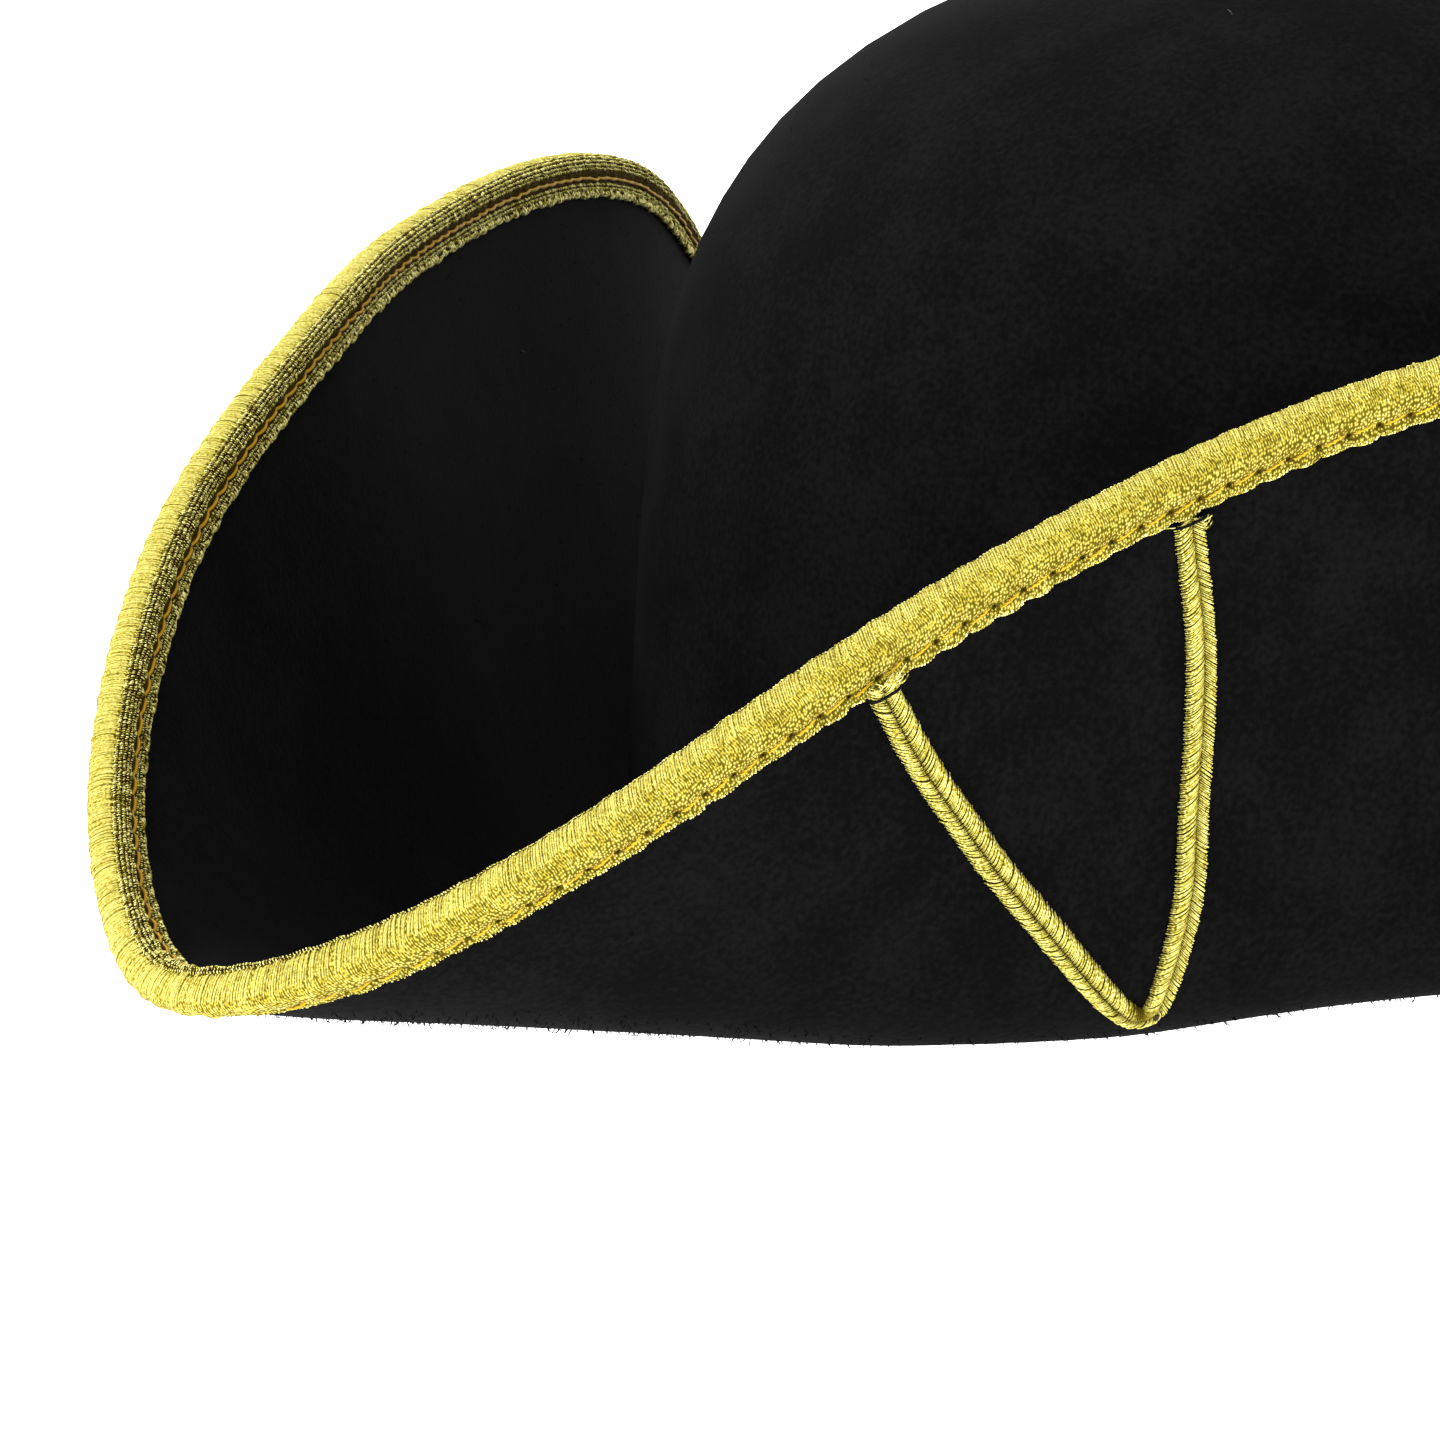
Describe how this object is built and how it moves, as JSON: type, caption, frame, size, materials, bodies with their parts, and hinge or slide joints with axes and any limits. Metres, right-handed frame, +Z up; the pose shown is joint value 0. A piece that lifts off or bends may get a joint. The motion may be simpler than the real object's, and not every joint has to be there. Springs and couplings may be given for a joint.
{
  "type": "tricorn hat",
  "caption": "Black felt tricorn hat: a domed crown, a brim turned up into flaps that meet in spouted points, a folded metallic edge binding and V-shaped braid loops.",
  "frame": {"origin": "middle of the hat's outline seen from above, on the surface that the hat stands on", "axes": "+Z up out of the crown, -Y towards the front point, +X towards the wearer's left"},
  "size_m": [0.363, 0.3334, 0.1116],
  "materials": {
    "felt": "matt black wool felt",
    "metallic_braid": "woven metallic gold"
  },
  "bodies": {
    "root": {"felt_hood": "felt", "edge_binding": "metallic_braid", "soutache_loop_left_1": "metallic_braid", "soutache_loop_left_2": "metallic_braid", "soutache_loop_back_1": "metallic_braid", "soutache_loop_back_2": "metallic_braid", "soutache_loop_right_1": "metallic_braid", "soutache_loop_right_2": "metallic_braid"}
  },
  "joints": []
}
